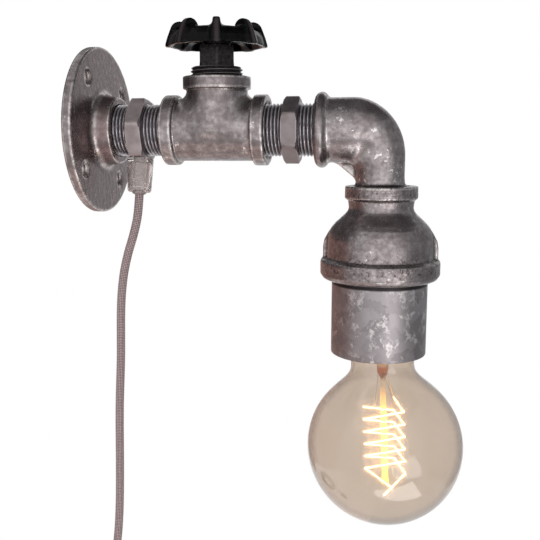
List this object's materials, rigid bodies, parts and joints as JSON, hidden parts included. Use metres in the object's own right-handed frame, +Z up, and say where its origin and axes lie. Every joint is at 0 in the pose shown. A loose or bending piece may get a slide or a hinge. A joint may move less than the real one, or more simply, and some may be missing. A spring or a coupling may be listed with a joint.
{
  "type": "pipe wall light",
  "caption": "Wall light made of threaded pipe fittings: round wall flange, arm with a finned valve wheel as its rotary switch, elbow and reducer, with a hanging globe bulb and a braided cord.",
  "frame": {"origin": "centre of the wall flange's back face, on the wall", "axes": "+X out from the wall along the arm, +Z up, the lamp head hanging towards -Z"},
  "size_m": [0.1945, 0.0914, 0.4585],
  "materials": {
    "galvanised_iron": "cast, hot-dip galvanised and oiled",
    "black_iron": "gloss black paint",
    "clear_nylon": "moulded clear nylon",
    "black_plastic": "moulded",
    "track_board": "pressed laminate",
    "brass": "pressed",
    "steel": "zinc plated",
    "porcelain": "glazed ceramic",
    "amber_glass": "blown, amber tinted",
    "clear_glass": "clear",
    "black_glass": "vitrified",
    "glowing_wire": "glowing filament",
    "brown_wire": "extruded insulation",
    "black_wire": "extruded insulation",
    "blue_wire": "extruded insulation",
    "braid": "braided textile"
  },
  "bodies": {
    "fixture": {"wall_flange": "galvanised_iron", "rear_nipple": "galvanised_iron", "tee": "galvanised_iron", "front_nipple": "galvanised_iron", "street_elbow": "galvanised_iron", "reducer": "galvanised_iron", "lamp_tube": "galvanised_iron", "bonnet_bush": "black_iron", "neck_nut": "black_iron", "gland_body": "clear_nylon", "gland_sleeve": "clear_nylon", "gland_collet": "clear_nylon", "switch_case": "black_plastic", "holder_dome": "black_plastic", "holder_sleeve": "black_plastic", "cord_tie": "black_plastic", "plug_body": "black_plastic", "plug_grip": "black_plastic", "switch_base": "track_board", "switch_track": "track_board", "switch_terminals": "brass", "holder_terminals": "brass", "holder_contact": "brass", "holder_shell": "brass", "carrier_disc": "steel", "threaded_tube": "steel", "carrier_nuts": "steel", "plug_pins": "steel", "holder_base": "porcelain", "live_wire": "brown_wire", "switched_wire": "black_wire", "neutral_wire": "blue_wire", "cord_run": "braid", "cord_coil": "braid", "cord_lead": "braid"},
    "wheel": {"handwheel": "black_iron", "wheel_washer": "steel", "wheel_nut": "steel", "wheel_shaft": "steel", "switch_wiper": "brass"},
    "bulb_seat": {"bulb_contact": "steel", "bulb_insulator": "black_glass"},
    "bulb": {"bulb_cap": "brass", "bulb_glass": "amber_glass", "bulb_stem": "clear_glass", "bulb_leads": "steel", "filament": "glowing_wire", "filament_hooks": "steel"}
  },
  "joints": [
    {"name": "wheel_turn", "type": "hinge", "parent": "fixture", "child": "wheel", "pos_m": [0.066, 0, 0.045], "axis": [0, 0, 1], "range_deg": [-270, 0]},
    {"name": "bulb_slide", "type": "slide", "parent": "fixture", "child": "bulb_seat", "axis": [0.0448, 0, -0.999], "range_m": [0, 0.0218]},
    {"name": "bulb_turn", "type": "hinge", "parent": "bulb_seat", "child": "bulb", "pos_m": [0.15168, 0, -0.1], "axis": [0.0448, 0, -0.999], "range_deg": [0, 2160]}
  ],
  "couplings": [
    {"joint": "bulb_slide", "follows": "bulb_turn", "m_per_rad": 0.00057773}
  ]
}
